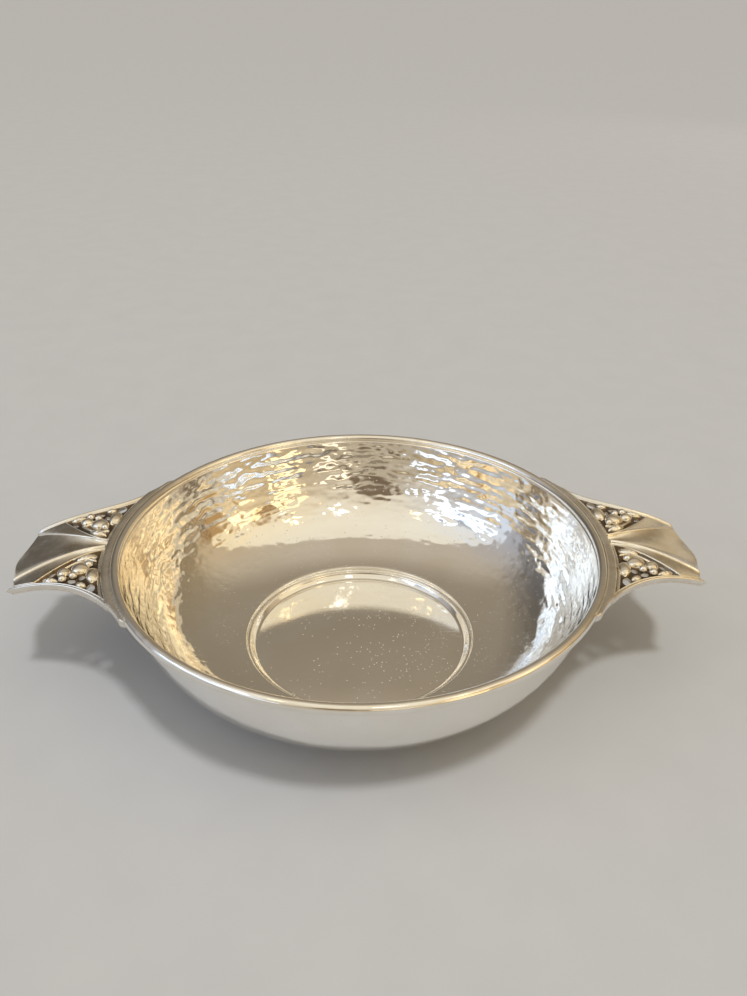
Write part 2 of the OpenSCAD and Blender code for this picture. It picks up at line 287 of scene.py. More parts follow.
def soft_waves(u, v, period, wavelength, seed):
    """Smooth random waves of about unit height, over a strip that closes on itself along u."""
    rng = np.random.default_rng(seed)
    total = np.zeros(u.shape)
    for _ in range(WAVE_COUNT):
        turn = rng.uniform(0, 2 * math.pi)
        length = wavelength * rng.uniform(*WAVE_SPREAD)
        k_u = round(period / length * math.cos(turn)) * 2 * math.pi / period
        k_v = 2 * math.pi / length * math.sin(turn)
        total += np.sin(k_u * u + k_v * v + rng.uniform(0, 2 * math.pi))
    return total / math.sqrt(WAVE_COUNT / 2)


def ring_faces(rings, around, closed=False):
    """Faces between neighbouring rings of points, and from the last ring to the first if closed."""
    faces = []
    for i in range(rings if closed else rings - 1):
        a, b = i * around, ((i + 1) % rings) * around
        for j in range(around):
            k = (j + 1) % around
            faces.append((a + j, a + k, b + k, b + j))
    return faces


def ring_points(r, z):
    """Points of rings round Z, from a radius and a height for each ring and angle."""
    around = r.shape[1]
    angles = np.arange(around) * 2 * math.pi / around
    return np.stack([r * np.cos(angles), r * np.sin(angles), z], -1).reshape(-1, 3)


def revolve(line, bumps):
    """Turns a line round Z. bumps is the push along the line's left normal, for each point and angle."""
    normals = line_normals(line)
    return ring_points(line[:, 0:1] + normals[:, 0:1] * bumps, line[:, 1:2] + normals[:, 1:2] * bumps)


def grid_uvs(u, v):
    return np.stack(np.broadcast_arrays(u, v), -1).reshape(-1, 2)


# Bowl, rim wire and foot ring

AROUND = 960
LINE_STEP, DOME_POINTS, WALL_POINTS = 0.1, 60, 200
RIM_LENGTH = 2 * math.pi * RIM_MID_R
# Places along the rim of the points round the bowl
RIM_PLACES = np.arange(AROUND) * RIM_LENGTH / AROUND
# How far the corners of the sheet are rounded inside and outside
INSIDE_ROUND, OUTSIDE_ROUND = 0.28, 0.9
# Lines of the ring round the well: place from the well's edge, height and width
RING_LINES = [(-0.30, 0.18, 0.30), (-1.05, -0.16, 0.26), (-1.85, 0.15, 0.30)]
# Spacing of the rows of points: in the well, on its ring, on the floor, up the wall and outside
WELL_ROW, RING_ROW, FLOOR_ROW, WALL_ROW, OUTER_ROW = 1.6, 0.1, 0.8, 0.4, 1.0
FIRST_ROW, RING_BELOW, RING_ABOVE, FLOOR_RUN = 1.0, 4.6, 1.2, 9
# Points of the lip inside the rim wire
HIDDEN_LIP = np.array([[61.7, 34.3], [62.2, 34.0]])
# Marks inside: share of their height, and where it starts and is full on the way up from the well's edge
MARK_BANDS = [(0.26, 9, 15), (0.84, 18, 26)]
MARK_W, MARK_H, MARK_DEPTH = 3.9, 1.9, 0.012
# Crumples of the inner wall: height, length along the rim, length up the wall and seed
CRUMPLES = [(0.054, 15, 3.6, 12), (0.034, 6.5, 2.0, 13), (0.010, 3.0, 1.2, 19)]
# How far the marks' lower edge wanders, how much their depth varies, and the wavelength of each
RAGGED, RAGGED_LENGTH = 1.8, 11
PATCH_MEAN, PATCH_SPREAD, PATCH_LENGTH = 0.72, 0.28, 16
LIP_FADE = 1.2
FLOOR_WAVE, FLOOR_WAVE_LENGTH, OPEN_PERIOD = 0.004, 15, 1e5
OUTER_MARK_W, OUTER_MARK_H, OUTER_MARK_DEPTH = 4.4, 3.6, 0.0040
OUTER_WAVE, OUTER_WAVE_LENGTH = 0.022, 18
OUTER_RISE, OUTER_FADE = 12, 2
RIM_POINTS, RIM_DENT, RIM_DENT_MAX, RIM_UV_TURN = 28, 0.012, 0.06, 40
RIM_SHORT_WAVE, RIM_LONG_WAVE = 7, 30
FOOT_AROUND, FOOT_STEP = 320, 0.25
FOOT_ROUND, FOOT_BEVEL, FOOT_MID_LEAN = 0.5, 0.12, 0.6
FOOT_LOW_Z, FOOT_MID_Z, FOOT_TOP_Z = 0.6, 2.6, 4.8


def bowl_line():
    """Inner line of the bowl from its middle to its lip, with a moulded step round the well."""
    radii = np.linspace(0, WELL_FLOOR_R, DOME_POINTS)
    dome = [(r, WELL_Z + WELL_DOME * (1 - (r / WELL_FLOOR_R) ** 2)) for r in radii]
    wall = [bezier(WALL_CURVE, t) for t in np.linspace(0, 1, WALL_POINTS)]
    line = soften(resample(np.array(dome + wall), LINE_STEP), INSIDE_ROUND / LINE_STEP)
    s = np.arange(len(line)) * LINE_STEP
    edge_s = s[np.argmin(np.abs(line[:, 0] - WELL_R))]
    mould = np.zeros(len(s))
    for place, height, width in RING_LINES:
        mould += height * np.exp(-((s - edge_s - place) / width) ** 2)
    return line + line_normals(line) * mould[:, None], s, edge_s


def foil(u, v, wide, high, seed):
    """Smooth crumples of about unit height, as wide along the rim and as high up the wall as given."""
    return soft_waves(u, v * wide / high, RIM_LENGTH, wide, seed)


def wall_marks(u, v, edge_s, end_s):
    """Height of the planishing marks inside the bowl: crumpled on the upper wall, gone on the floor."""
    up = v - edge_s + RAGGED * soft_waves(u, v, RIM_LENGTH, RAGGED_LENGTH, seed=14)
    strength = sum(share * smoothstep(start, full, up) for share, start, full in MARK_BANDS)
    patches = np.clip(soft_waves(u, v, RIM_LENGTH, PATCH_LENGTH, seed=18), -1, 1)
    marks = MARK_DEPTH * hammer_cells(u, v, MARK_W, MARK_H, RIM_LENGTH, seed=11)
    crumples = sum(height * foil(u, v, wide, high, seed) for height, wide, high, seed in CRUMPLES)
    fade = smoothstep(end_s, end_s - LIP_FADE, v)
    return strength * (PATCH_MEAN + PATCH_SPREAD * patches) * fade * (marks + crumples)


def build_bowl(material):
    line, s, edge_s = bowl_line()
    end_s = s[-1]
    ring_start, ring_end, wall_start = edge_s - RING_BELOW, edge_s + RING_ABOVE, edge_s + FLOOR_RUN
    picks = np.concatenate([
        np.arange(FIRST_ROW, ring_start, WELL_ROW), np.arange(ring_start, ring_end, RING_ROW),
        np.arange(ring_end, wall_start, FLOOR_ROW), np.arange(wall_start, end_s, WALL_ROW), [end_s]])
    rows = np.unique(np.round(picks / LINE_STEP).astype(int).clip(0, len(line) - 1))
    inner = line[rows]
    outside = soften(line - line_normals(line) * SHEET_T, OUTSIDE_ROUND / LINE_STEP)
    out_rows = np.unique(np.round(np.arange(FIRST_ROW, end_s, OUTER_ROW) / LINE_STEP).astype(int))[::-1]
    profile = np.concatenate([inner, HIDDEN_LIP, outside[out_rows]])

    u, v = np.meshgrid(RIM_PLACES, s[rows])
    x, y = inner[:, 0:1] * np.cos(u / RIM_MID_R), inner[:, 0:1] * np.sin(u / RIM_MID_R)
    inner_bumps = wall_marks(u, v, edge_s, end_s)
    inner_bumps += FLOOR_WAVE * soft_waves(x, y, OPEN_PERIOD, FLOOR_WAVE_LENGTH, seed=23)
    u, v = np.meshgrid(RIM_PLACES, s[out_rows])
    marks = OUTER_MARK_DEPTH * hammer_cells(u, v, OUTER_MARK_W, OUTER_MARK_H, RIM_LENGTH, seed=15)
    waves = OUTER_WAVE * soft_waves(u, v, RIM_LENGTH, OUTER_WAVE_LENGTH, seed=16)
    strength = smoothstep(edge_s, edge_s + OUTER_RISE, v) * smoothstep(end_s, end_s - OUTER_FADE, v)
    bumps = np.concatenate([inner_bumps, np.zeros((len(HIDDEN_LIP), AROUND)), strength * (marks + waves)])

    verts = revolve(profile, bumps)
    faces = ring_faces(len(profile), AROUND)
    first, last = len(verts), len(verts) + 1
    verts = np.concatenate([verts, [[0, 0, line[0, 1]], [0, 0, outside[0, 1]]]])
    base = (len(profile) - 1) * AROUND
    for j in range(AROUND):
        k = (j + 1) % AROUND
        faces.append((first, k, j))
        faces.append((last, base + j, base + k))
    dress(link_mesh("hammered_bowl", verts, faces), material, "bright_silver", "bowl")


def build_rim_wire(material):
    turn = np.arange(RIM_POINTS) * 2 * math.pi / RIM_POINTS
    u, v = np.meshgrid(RIM_PLACES, turn * RIM_WIRE_R)
    dents = np.abs(soft_waves(u, v, RIM_LENGTH, RIM_SHORT_WAVE, seed=21)) * RIM_DENT
    dents += RIM_DENT * (1 + soft_waves(u, v * 0, RIM_LENGTH, RIM_LONG_WAVE, seed=22) / 3)
    radius = RIM_WIRE_R - np.clip(dents, 0, RIM_DENT_MAX)
    verts = ring_points(RIM_MID_R + radius * np.cos(turn)[:, None], RIM_Z + radius * np.sin(turn)[:, None])
    uvs = grid_uvs(np.arange(AROUND) / AROUND, turn[:, None] / RIM_UV_TURN)
    obj = link_mesh("rim_bead", verts, ring_faces(RIM_POINTS, AROUND, closed=True), uvs)
    dress(obj, material, "bright_silver", "rim_wire")


def build_foot_ring(material):
    in_r, mid_r, top_r = FOOT_R - FOOT_T, FOOT_R - FOOT_SPLAY * FOOT_MID_LEAN, FOOT_R - FOOT_SPLAY
    corners = np.array([
        [in_r + FOOT_ROUND, 0], [FOOT_R - FOOT_ROUND, 0], [FOOT_R - FOOT_BEVEL, FOOT_BEVEL],
        [FOOT_R, FOOT_LOW_Z], [mid_r, FOOT_MID_Z], [top_r, FOOT_TOP_Z],
        [top_r - FOOT_T, FOOT_TOP_Z], [mid_r - FOOT_T, FOOT_MID_Z], [in_r, FOOT_LOW_Z],
        [in_r + FOOT_BEVEL, FOOT_BEVEL], [in_r + FOOT_ROUND, 0]])
    line = resample(corners, FOOT_STEP)[:-1]
    verts = revolve(line, np.zeros((len(line), FOOT_AROUND)))
    path = np.arange(len(line))[:, None] * FOOT_STEP
    uvs = grid_uvs(np.arange(FOOT_AROUND) / FOOT_AROUND, path / RIM_LENGTH)
    obj = link_mesh("foot_collet", verts, ring_faces(len(line), FOOT_AROUND, closed=True), uvs)
    dress(obj, material, "satin_silver", "foot_ring")


# Lugs: each piece is made for the right lug, or for its far half, and mirrored to its place

LUG_UV_LENGTH = 20
SHARP_ANGLE = 50
# Sections of wires: place across in widths, and share of the height or, if negative, of the depth
HALF_ROUND = [
    (-0.5, -0.06), (0.5, -0.06), (0.5, 0.18), (0.46, 0.48), (0.37, 0.74), (0.22, 0.93), (0, 1),
    (-0.22, 0.93), (-0.37, 0.74), (-0.46, 0.48), (-0.5, 0.18),
]
# From the panel's side to the outer edge: a thin line, a slope and a full lip round the plate's edge
BORDER_SECTION = [
    (-0.40, -1.04), (0.1, -0.5), (0.5, -0.06), (0.5, 0.30), (0.46, 0.52), (0.40, 0.58), (0.33, 0.52),
    (0.27, 0.44), (0.14, 0.52), (-0.02, 0.70), (-0.16, 0.90), (-0.26, 0.99), (-0.36, 1), (-0.46, 0.94),
    (-0.55, 0.80), (-0.61, 0.58), (-0.63, 0.34), (-0.61, 0.10), (-0.57, -0.14), (-0.525, -0.34),
    (-0.51, -0.6), (-0.50, -0.9),
]
# Ridge, each with its share of the height: a crest by distance from the tongue, a hollow facet by share of
# the way to the panel, and a thin line by distance from the panel
RIDGE_CREST = [
    (0, -0.06), (0, 0.60), (0.06, 0.80), (0.17, 0.95), (0.31, 1), (0.45, 0.95), (0.60, 0.84), (0.75, 0.75),
]
RIDGE_FACET = [(0.12, 0.67), (0.30, 0.58), (0.52, 0.50), (0.76, 0.45), (0.94, 0.43)]
RIDGE_LINE = [(0.32, 0.45), (0.25, 0.52), (0.16, 0.54), (0.07, 0.50), (0.01, 0.38), (0, 0.15), (0, -0.06)]
RIDGE_STEPS, RIDGE_ROUND, RIDGE_END_H, RIDGE_TIP_RUN = 64, 0.9, 0.3, 4
# The ridge's rounded end: steps, run, and the angle in radians at which its steps start
RIDGE_END_STEPS, RIDGE_END_RUN, RIDGE_END_FROM = 10, 1, 0.15
# A length past any wire's, for a wire that is rounded at one end only
FAR_END = 1e3
# The collar's bead line and groove: radius and height over the collar's top
COLLAR_BEAD = [
    (62.60, -0.3), (62.80, -0.16), (62.86, 0.02), (62.96, 0.12), (63.10, 0.16), (63.24, 0.12), (63.34, 0.02),
    (63.42, -0.16), (63.52, -0.24), (63.66, -0.20),
]
# The collar's outer shoulder: inset from its outer radius, and drop from its flat
COLLAR_SHOULDER = [(0.40, 0), (0.16, 0.1), (0, 0.4)]
# The collar's outer lower corner: inset from its outer radius, and rise over the plate's underside
COLLAR_UNDER = [(0.12, 0.12), (0.4, 0.01)]
# The collar's inner corner under the rim wire
COLLAR_SEAT = [(62.7, PLATE_TOP - PLATE_T + 0.01), (62.4, 33.6)]
COLLAR_STEPS, COLLAR_DROP, COLLAR_END_DROP, COLLAR_FACE_LOW = 121, 0.22, 0.25, 0.5
# Angle from which the plate's edge may cut the collar short, and angle over which the collar's end closes
COLLAR_EDGE_FROM, COLLAR_CLOSE, COLLAR_LEAST_END = 18, 1.3, 0.03
TONGUE_ROWS, TONGUE_LANES, TONGUE_TURNS = 60, 56, 9
TONGUE_FOLD, TONGUE_ROLL, TONGUE_FOLD_LOW, TONGUE_ROOT_LOW = 0.62, 0.68, -0.5, -0.3
TONGUE_ROW_EXPONENT, TROUGH_EXPONENT = 0.9, 2.4
LOBE_SHARE, LOBE_W, LOBE_RUN = 0.42, 0.42, (0.5, 0.95)
# Under-face of the tongue's tip: place from the tip's line, and height over the plate
TONGUE_UNDER = [(-0.05, -0.7), (-0.3, -PLATE_T - 0.04), (-0.9, -PLATE_T - 0.04), (-1.3, -0.4)]
BORDER_STEPS, BORDER_TRIES, BORDER_LEAD = 72, 400, 0.06
HORN_LENGTH, HORN_STEPS, HORN_SWAY = 1.7, 18, 0.5
HORN_FROM, HORN_TAPER, HORN_EXPONENT, HORN_LEAST_H, HORN_LIFT = 0.06, 0.96, 1.5, 0.25, 0.1
WIRE_STEPS, WIRE_LEAST_END = 60, 0.02
BEAD_MAX_ANGLE, BEAD_ANGLE_STEP, BEAD_W_SHARE, BEAD_H_SHARE = 30, 0.05, 0.9, 0.5
STEM_ROOT_SHARE, STEM_TAPER, STEM_ROUND, STEM_LEAST_H = 1.12, 0.5, 0.6, 0.35
LEAF_ROWS, LEAF_LANES, LEAF_FULLNESS, LEAF_SUNK = 30, 16, 1.3, 0.03
LEAF_BASE_H, LEAF_H_SHARE, LEAF_MAX_H = 0.2, 0.42, 1.6
# Length over width from which a leaf is ribbed, and at which it is fully so
LEAF_RIBBED = (1.6, 2.4)
LEAF_OUTLINE_EXPONENT, LEAF_DOME_EXPONENT = 0.55, 0.45
# Place across a leaf, width and depth of its crease, and width and height of its rib
CREASE_AT, CREASE_W, CREASE_DEPTH, RIB_W, RIB_HEIGHT = 0.3, 0.22, 0.10, 0.2, 0.10
VEINS, VEIN_SLANT, VEIN_HEIGHT = 4.5, 0.8, 0.06
BERRY_AROUND, BERRY_ROWS, BERRY_FULLNESS = 28, 18, 1.15
# How far below its middle a berry ends and its ring stands, in radians of latitude, and the ring's share
BERRY_LOW_LAT, BERRY_RING_LAT, BERRY_RING = 0.38, 0.12, 0.05
# Distance in metres within which the points of a berry's top are joined
BERRY_JOIN_M = 2e-6


def lug_name(side, half):
    return f"{side}_{half}" if half else side


def mirrored(verts, side, half):
    return np.asarray(verts) * [-1 if side == "left" else 1, -1 if half == "near" else 1, 1]


def loft(loops, side, half, piece, node, material, slot):
    """Closed skin through loops of points, with flat ends."""
    loops = np.asarray(loops, float)
    n, m = loops.shape[:2]
    faces = ring_faces(n, m) + [tuple(range(m)), tuple((n - 1) * m + j for j in range(m))]
    uvs = grid_uvs(run_lengths(loops.mean(1))[:, None] / LUG_UV_LENGTH, np.arange(m) / m)
    owner = lug_name(side, half)
    obj = link_mesh(f"{owner}_{piece}", mirrored(loops.reshape(-1, 3), side, half), faces, uvs)
    obj.data.set_sharp_from_angle(angle=math.radians(SHARP_ANGLE))
    dress(obj, material, slot, f"{owner}_{node}")


def wire_loops(path, widths, heights, section, depths):
    """Loops of a wire on the plate, from its path, its section and its size at each point."""
    loops = []
    for p, d, w, h, low in zip(path, path_dirs(path), widths, heights, depths):
        loops.append([on_plate(p - a * w * turned(d), b * (h if b > 0 else low)) for a, b in section])
    return loops


def rounded_end(s, length, reach):
    """Share of full width along a wire with rounded ends."""
    t = np.clip(np.minimum(s, length - s) / reach, WIRE_LEAST_END, 1)
    return np.sqrt(1 - (1 - t) ** 2)


def build_collar(side, material):
    loops = []
    for i in range(COLLAR_STEPS):
        angle = math.radians(COLLAR_ANGLE * (2 * i / (COLLAR_STEPS - 1) - 1))
        out_r = COLLAR_R
        if abs(angle) > math.radians(COLLAR_EDGE_FROM):
            place = edge_t(lambda p: math.atan2(p[1], p[0]) > abs(angle))
            out_r = min(COLLAR_R, np.linalg.norm(bezier(EDGE_CURVE, place)))
        from_end = (COLLAR_ANGLE - abs(math.degrees(angle))) / COLLAR_CLOSE
        close = math.sqrt(1 - (1 - min(1, max(COLLAR_LEAST_END, from_end))) ** 2)
        out_r = RIM_R + (out_r - RIM_R) * close
        top = PLATE_TOP + COLLAR_RISE - COLLAR_END_DROP * (1 - close)
        flat, under = top - COLLAR_DROP, PLATE_TOP - PLATE_T
        section = [(r, top + h) for r, h in COLLAR_BEAD]
        section.append((0.5 * (COLLAR_BEAD[-1][0] + out_r), flat))
        section += [(out_r - inset, flat - drop) for inset, drop in COLLAR_SHOULDER]
        section.append((out_r, PLATE_TOP - COLLAR_FACE_LOW))
        section += [(out_r - inset, under + rise) for inset, rise in COLLAR_UNDER] + COLLAR_SEAT
        loops.append([(r * math.cos(angle), r * math.sin(angle), z) for r, z in section])
    loft(loops, side, None, "collar_band", "collar", material, "satin_silver")


def tongue_height(lane, s):
    """Height of the tongue over the plate: a trough between raised edges, with a lobe near the tip."""
    trough = abs(lane) ** TROUGH_EXPONENT
    lobe = LOBE_SHARE * math.exp(-(lane / LOBE_W) ** 2) * float(smoothstep(*LOBE_RUN, s))
    return TONGUE_MID_H + (TONGUE_EDGE_H - TONGUE_MID_H) * (trough + lobe)


def build_tongue(side, material):
    loops = []
    for j in range(TONGUE_LANES + 1):
        lane = 2 * j / TONGUE_LANES - 1
        end_x = tip_line_x(lane * TONGUE_TIP_W / 2)
        fold_x = end_x - TONGUE_FOLD
        line = []
        for i in range(TONGUE_ROWS + 1):
            s = (i / TONGUE_ROWS) ** TONGUE_ROW_EXPONENT
            line.append((ROOT_X + (fold_x - ROOT_X) * s, tongue_height(lane, s)))
        top = line[-1][1]
        for i in range(1, TONGUE_TURNS + 1):
            a = math.pi / 2 * i / TONGUE_TURNS
            fall = (top - TONGUE_FOLD_LOW) * (1 - math.cos(a))
            line.append((fold_x + TONGUE_ROLL * math.sin(a), top - fall))
        line += [(end_x + dx, h) for dx, h in TONGUE_UNDER] + [(ROOT_X, TONGUE_ROOT_LOW)]
        loops.append([on_plate((x, lane * tongue_half_w(min(x, CORNER_X))), h) for x, h in line])
    loft(loops, side, None, "fan_tongue", "tongue", material, "warm_silver")


def build_ridge(side, half, material):
    """Facet between the tongue and the panel, with its crest along the tongue."""
    end_x = CORNER_X - SEAM
    last_x = end_x - RIDGE_END_RUN
    closing = np.sin(np.linspace(RIDGE_END_FROM, math.pi / 2, RIDGE_END_STEPS))
    xs = np.concatenate([np.linspace(ROOT_X, last_x, RIDGE_STEPS), last_x + RIDGE_END_RUN * closing])
    crest_w, line_w = RIDGE_CREST[-1][0], RIDGE_LINE[0][0]
    loops = []
    for x, close in zip(xs, rounded_end(end_x - xs, FAR_END, RIDGE_ROUND)):
        inner, outer = ridge_in_y(x), ridge_out_y(x)
        facet = outer - inner - crest_w - line_w
        section = [(inner + d, b) for d, b in RIDGE_CREST]
        section += [(inner + crest_w + facet * share, b) for share, b in RIDGE_FACET]
        section += [(outer - d, b) for d, b in RIDGE_LINE]
        to_tip = float(smoothstep(end_x - RIDGE_TIP_RUN, end_x, x))
        height = RIDGE_H * (RIDGE_END_H + (1 - RIDGE_END_H) * close)
        loops.append([on_plate((x + to_tip * (tip_line_x(y) - CORNER_X), y), b * height) for y, b in section])
    loft(loops, side, half, "ridge_roll", "ridge", material, "warm_silver")


def build_border(side, half, material):
    """Lip along the hollow edge, drawn out to a pointed horn at the tip corner."""
    tries = np.linspace(0, 1, BORDER_TRIES)
    start = next(t for t in tries if np.linalg.norm(edge_inset(t, BORDER_W / 2)) >= ROOT_X)
    places = np.linspace(max(0, start - BORDER_LEAD), 1, BORDER_STEPS)
    path = [edge_inset(t, BORDER_W / 2) for t in places]
    widths, heights, depths = ([size] * BORDER_STEPS for size in (BORDER_W, BORDER_H, PLATE_T))
    corner, ahead = path[-1], bezier_dir(EDGE_CURVE, 1)
    for t in np.linspace(HORN_FROM, 1, HORN_STEPS):
        path.append(corner + ahead * HORN_LENGTH * t + turned(ahead) * HORN_SWAY * t * t)
        taper = 1 - HORN_TAPER * t ** HORN_EXPONENT
        widths.append(BORDER_W * taper)
        heights.append(BORDER_H * (HORN_LEAST_H + (1 - HORN_LEAST_H) * taper))
        depths.append(PLATE_T * ((1 + HORN_LIFT) * taper - HORN_LIFT))
    loops = wire_loops(np.array(path), widths, heights, BORDER_SECTION, depths)
    loft(loops, side, half, "border_lip", "border", material, "satin_silver")


def build_bead(side, half, material):
    r = COLLAR_R + SEAM + BEAD_W / 2
    start = math.asin((ridge_out_y(r) + SEAM) / r)
    end = start
    while end < math.radians(BEAD_MAX_ANGLE) and r * math.sin(end) < border_in_y(r * math.cos(end)) - SEAM:
        end += math.radians(BEAD_ANGLE_STEP)
    angles = np.linspace(start, end, WIRE_STEPS)
    path = np.stack([r * np.cos(angles), r * np.sin(angles)], 1)
    sizes = BEAD_W * BEAD_W_SHARE, BEAD_W * BEAD_H_SHARE, PLATE_T
    widths, heights, depths = ([size] * WIRE_STEPS for size in sizes)
    loops = wire_loops(path, widths, heights, HALF_ROUND, depths)
    loft(loops, side, half, "bead_wire", "bead", material, "satin_silver")


def build_stem(side, half, material):
    p = np.array(STEM)
    ts = np.linspace(0, 1, WIRE_STEPS)[:, None]
    places = (1 - ts) ** 2 * p[0] + 2 * ts * (1 - ts) * p[1] + ts ** 2 * p[2]
    path = np.array([panel_point(q) for q in places])
    s = run_lengths(path)
    taper = (STEM_ROOT_SHARE - STEM_TAPER * s / s[-1]) * rounded_end(s, s[-1], STEM_ROUND)
    heights = STEM_H * (STEM_LEAST_H + (1 - STEM_LEAST_H) * taper / STEM_ROOT_SHARE)
    loops = wire_loops(path, STEM_W * taper, heights, HALF_ROUND, [PLATE_T] * WIRE_STEPS)
    loft(loops, side, half, "spray_stem", "stem", material, "warm_silver")


def leaf_skin(base, tip, share):
    """Plump leaf, ribbed where it is long, closed by a flat under-face."""
    a, b = panel_point(base), panel_point(tip)
    length = np.linalg.norm(b - a)
    d = (b - a) / length
    w = LEAF_FULLNESS * share * WAIST_HALF_W
    height = min(LEAF_MAX_H, LEAF_BASE_H + LEAF_H_SHARE * w)
    ribbed = float(smoothstep(*LEAF_RIBBED, length / w))
    top, low = [], []
    for i in range(LEAF_ROWS + 1):
        u = i / LEAF_ROWS
        reach = w / 2 * math.sin(math.pi * u) ** LEAF_OUTLINE_EXPONENT
        for j in range(LEAF_LANES + 1):
            v = 2 * j / LEAF_LANES - 1
            dome = (1 - v * v) ** 0.5 * math.sin(math.pi * u) ** LEAF_DOME_EXPONENT
            crease = math.exp(-((v - CREASE_AT) / CREASE_W) ** 2) * (1 - u)
            rib = math.exp(-(v / RIB_W) ** 2)
            vein = math.sin(2 * math.pi * (VEINS * u - VEIN_SLANT * abs(v)))
            ribs = ribbed * (RIB_HEIGHT * rib + VEIN_HEIGHT * vein)
            h = height * dome * (1 - CREASE_DEPTH * crease * (1 - ribbed) + ribs)
            p = a + d * length * u + turned(d) * reach * v
            top.append(on_plate(p, h))
            low.append(on_plate(p, min(h, 0) - LEAF_SUNK))
    n = LEAF_LANES + 1
    count = (LEAF_ROWS + 1) * n
    faces = []
    for i in range(LEAF_ROWS):
        for j in range(LEAF_LANES):
            p, q = i * n + j, (i + 1) * n + j
            faces.append((p, p + 1, q + 1, q))
            faces.append((count + p, count + q, count + q + 1, count + p + 1))
    rim = list(range(LEAF_LANES)) + [i * n + LEAF_LANES for i in range(LEAF_ROWS)]
    rim += [LEAF_ROWS * n + j for j in range(LEAF_LANES, 0, -1)] + [i * n for i in range(LEAF_ROWS, 0, -1)]
    for p, q in zip(rim, rim[1:] + rim[:1]):
        faces.append((p, q, count + q, count + p))
    uv = [(i / LEAF_ROWS, j / LEAF_LANES) for i in range(LEAF_ROWS + 1) for j in range(n)]
    return top + low, faces, uv + uv


def berry_skin(place):
    """Small ball, set in a fine ring and closed below."""
    p = panel_point(place)
    verts, uvs = [], []
    for i in range(BERRY_ROWS + 1):
        lat = -BERRY_LOW_LAT + (math.pi / 2 + BERRY_LOW_LAT) * i / BERRY_ROWS
        ring = BERRY_RING * math.exp(-((lat + BERRY_RING_LAT) / BERRY_RING_LAT) ** 2)
        rad = BERRY_FULLNESS * BERRY_D / 2 * (1 + ring)
        h = BERRY_D / 4 + rad * math.sin(lat)
        for j in range(BERRY_AROUND):
            lon = 2 * math.pi * j / BERRY_AROUND
            verts.append(on_plate(p + rad * math.cos(lat) * np.array([math.cos(lon), math.sin(lon)]), h))
            uvs.append((j / BERRY_AROUND, i / BERRY_ROWS))
    return verts, ring_faces(BERRY_ROWS + 1, BERRY_AROUND) + [tuple(range(BERRY_AROUND))], uvs


def build_spray(skins, side, half, node, material, slot):
    """One piece of several leaves or berries."""
    verts, faces, uvs = [], [], []
    for v, f, uv in skins:
        faces += [tuple(len(verts) + k for k in face) for face in f]
        verts += v
        uvs += uv
    owner = lug_name(side, half)
    obj = link_mesh(f"{owner}_spray_{node}", mirrored(verts, side, half), faces, uvs)
    dress(obj, material, slot, f"{owner}_{node}")
    return obj


def build_leaves(side, half, material):
    build_spray([leaf_skin(*leaf) for leaf in LEAVES], side, half, "leaves", material, "warm_silver")


def build_berries(side, half, material):
    skins = [berry_skin(place) for place in BERRIES]
    obj = build_spray(skins, side, half, "berries", material, "bright_silver")
    face_out(obj.data, BERRY_JOIN_M)


# Shader nodes. A value is a node's output, or a plain number or colour

# Sockets of a Mix node that mixes colours
MIX_SHARE, MIX_A, MIX_B, MIX_RESULT = 0, 6, 7, 2


def connect(tree, value, socket):
    """Links a node's output to a socket, or sets the socket to a plain value."""
    if isinstance(value, bpy.types.NodeSocket):
        tree.links.new(value, socket)
    else:
        socket.default_value = value


def ranged(tree, value, low, high, to_low=0, to_high=1):
    """Value mapped from one range to another, and kept within it."""
    node = tree.nodes.new("ShaderNodeMapRange")
    for key, number in zip(("From Min", "From Max", "To Min", "To Max"), (low, high, to_low, to_high)):
        node.inputs[key].default_value = number
    connect(tree, value, node.inputs["Value"])
    return node.outputs["Result"]


def calculated(tree, operation, *values):
    node = tree.nodes.new("ShaderNodeMath")
    node.operation = operation
    for value, socket in zip(values, node.inputs):
        connect(tree, value, socket)
    return node.outputs["Value"]


def ramp(tree, value, stops):
    """Colour ramp through stops of position and colour."""
    node = tree.nodes.new("ShaderNodeValToRGB")
    elements = node.color_ramp.elements
    while len(elements) < len(stops):
        elements.new(0.5)
    for element, (position, colour) in zip(elements, stops):
        element.position = position
        element.color = (*colour, 1)
    connect(tree, value, node.inputs["Fac"])
    return node.outputs["Color"]


def multiplied(tree, share, colour, tone):
    """Colour multiplied by a tone, as far as the share says."""
    node = tree.nodes.new("ShaderNodeMix")
    node.data_type = "RGBA"
    node.blend_type = "MULTIPLY"
    for value, socket in ((share, MIX_SHARE), (colour, MIX_A), (tone, MIX_B)):
        connect(tree, value, node.inputs[socket])
    return node.outputs[MIX_RESULT]


def noise(tree, place, scale, detail, rough=0.5):
    node = tree.nodes.new("ShaderNodeTexNoise")
    for key, number in (("Scale", scale), ("Detail", detail), ("Roughness", rough)):
        node.inputs[key].default_value = number
    connect(tree, place, node.inputs["Vector"])
    return node.outputs["Fac"]


def stretched(tree, place, scale, turn=0.0):
    node = tree.nodes.new("ShaderNodeMapping")
    node.inputs["Scale"].default_value = scale
    node.inputs["Rotation"].default_value = (0, 0, turn)
    connect(tree, place, node.inputs["Vector"])
    return node.outputs["Vector"]


def cells(tree, place, scale):
    """Outputs of a Voronoi texture."""
    node = tree.nodes.new("ShaderNodeTexVoronoi")
    node.inputs["Scale"].default_value = scale
    connect(tree, place, node.inputs["Vector"])
    return node.outputs


def bumped(tree, height, distance, strength=None, under=None):
    """Normal with a relief of a distance in metres, on top of another normal if one is given."""
    node = tree.nodes.new("ShaderNodeBump")
    node.inputs["Distance"].default_value = distance
    if strength is not None:
        node.inputs["Strength"].default_value = strength
    connect(tree, height, node.inputs["Height"])
    if under is not None:
        connect(tree, under, node.inputs["Normal"])
    return node.outputs["Normal"]


# Materials. Scales of textures are in features a metre, or a length of the UV map

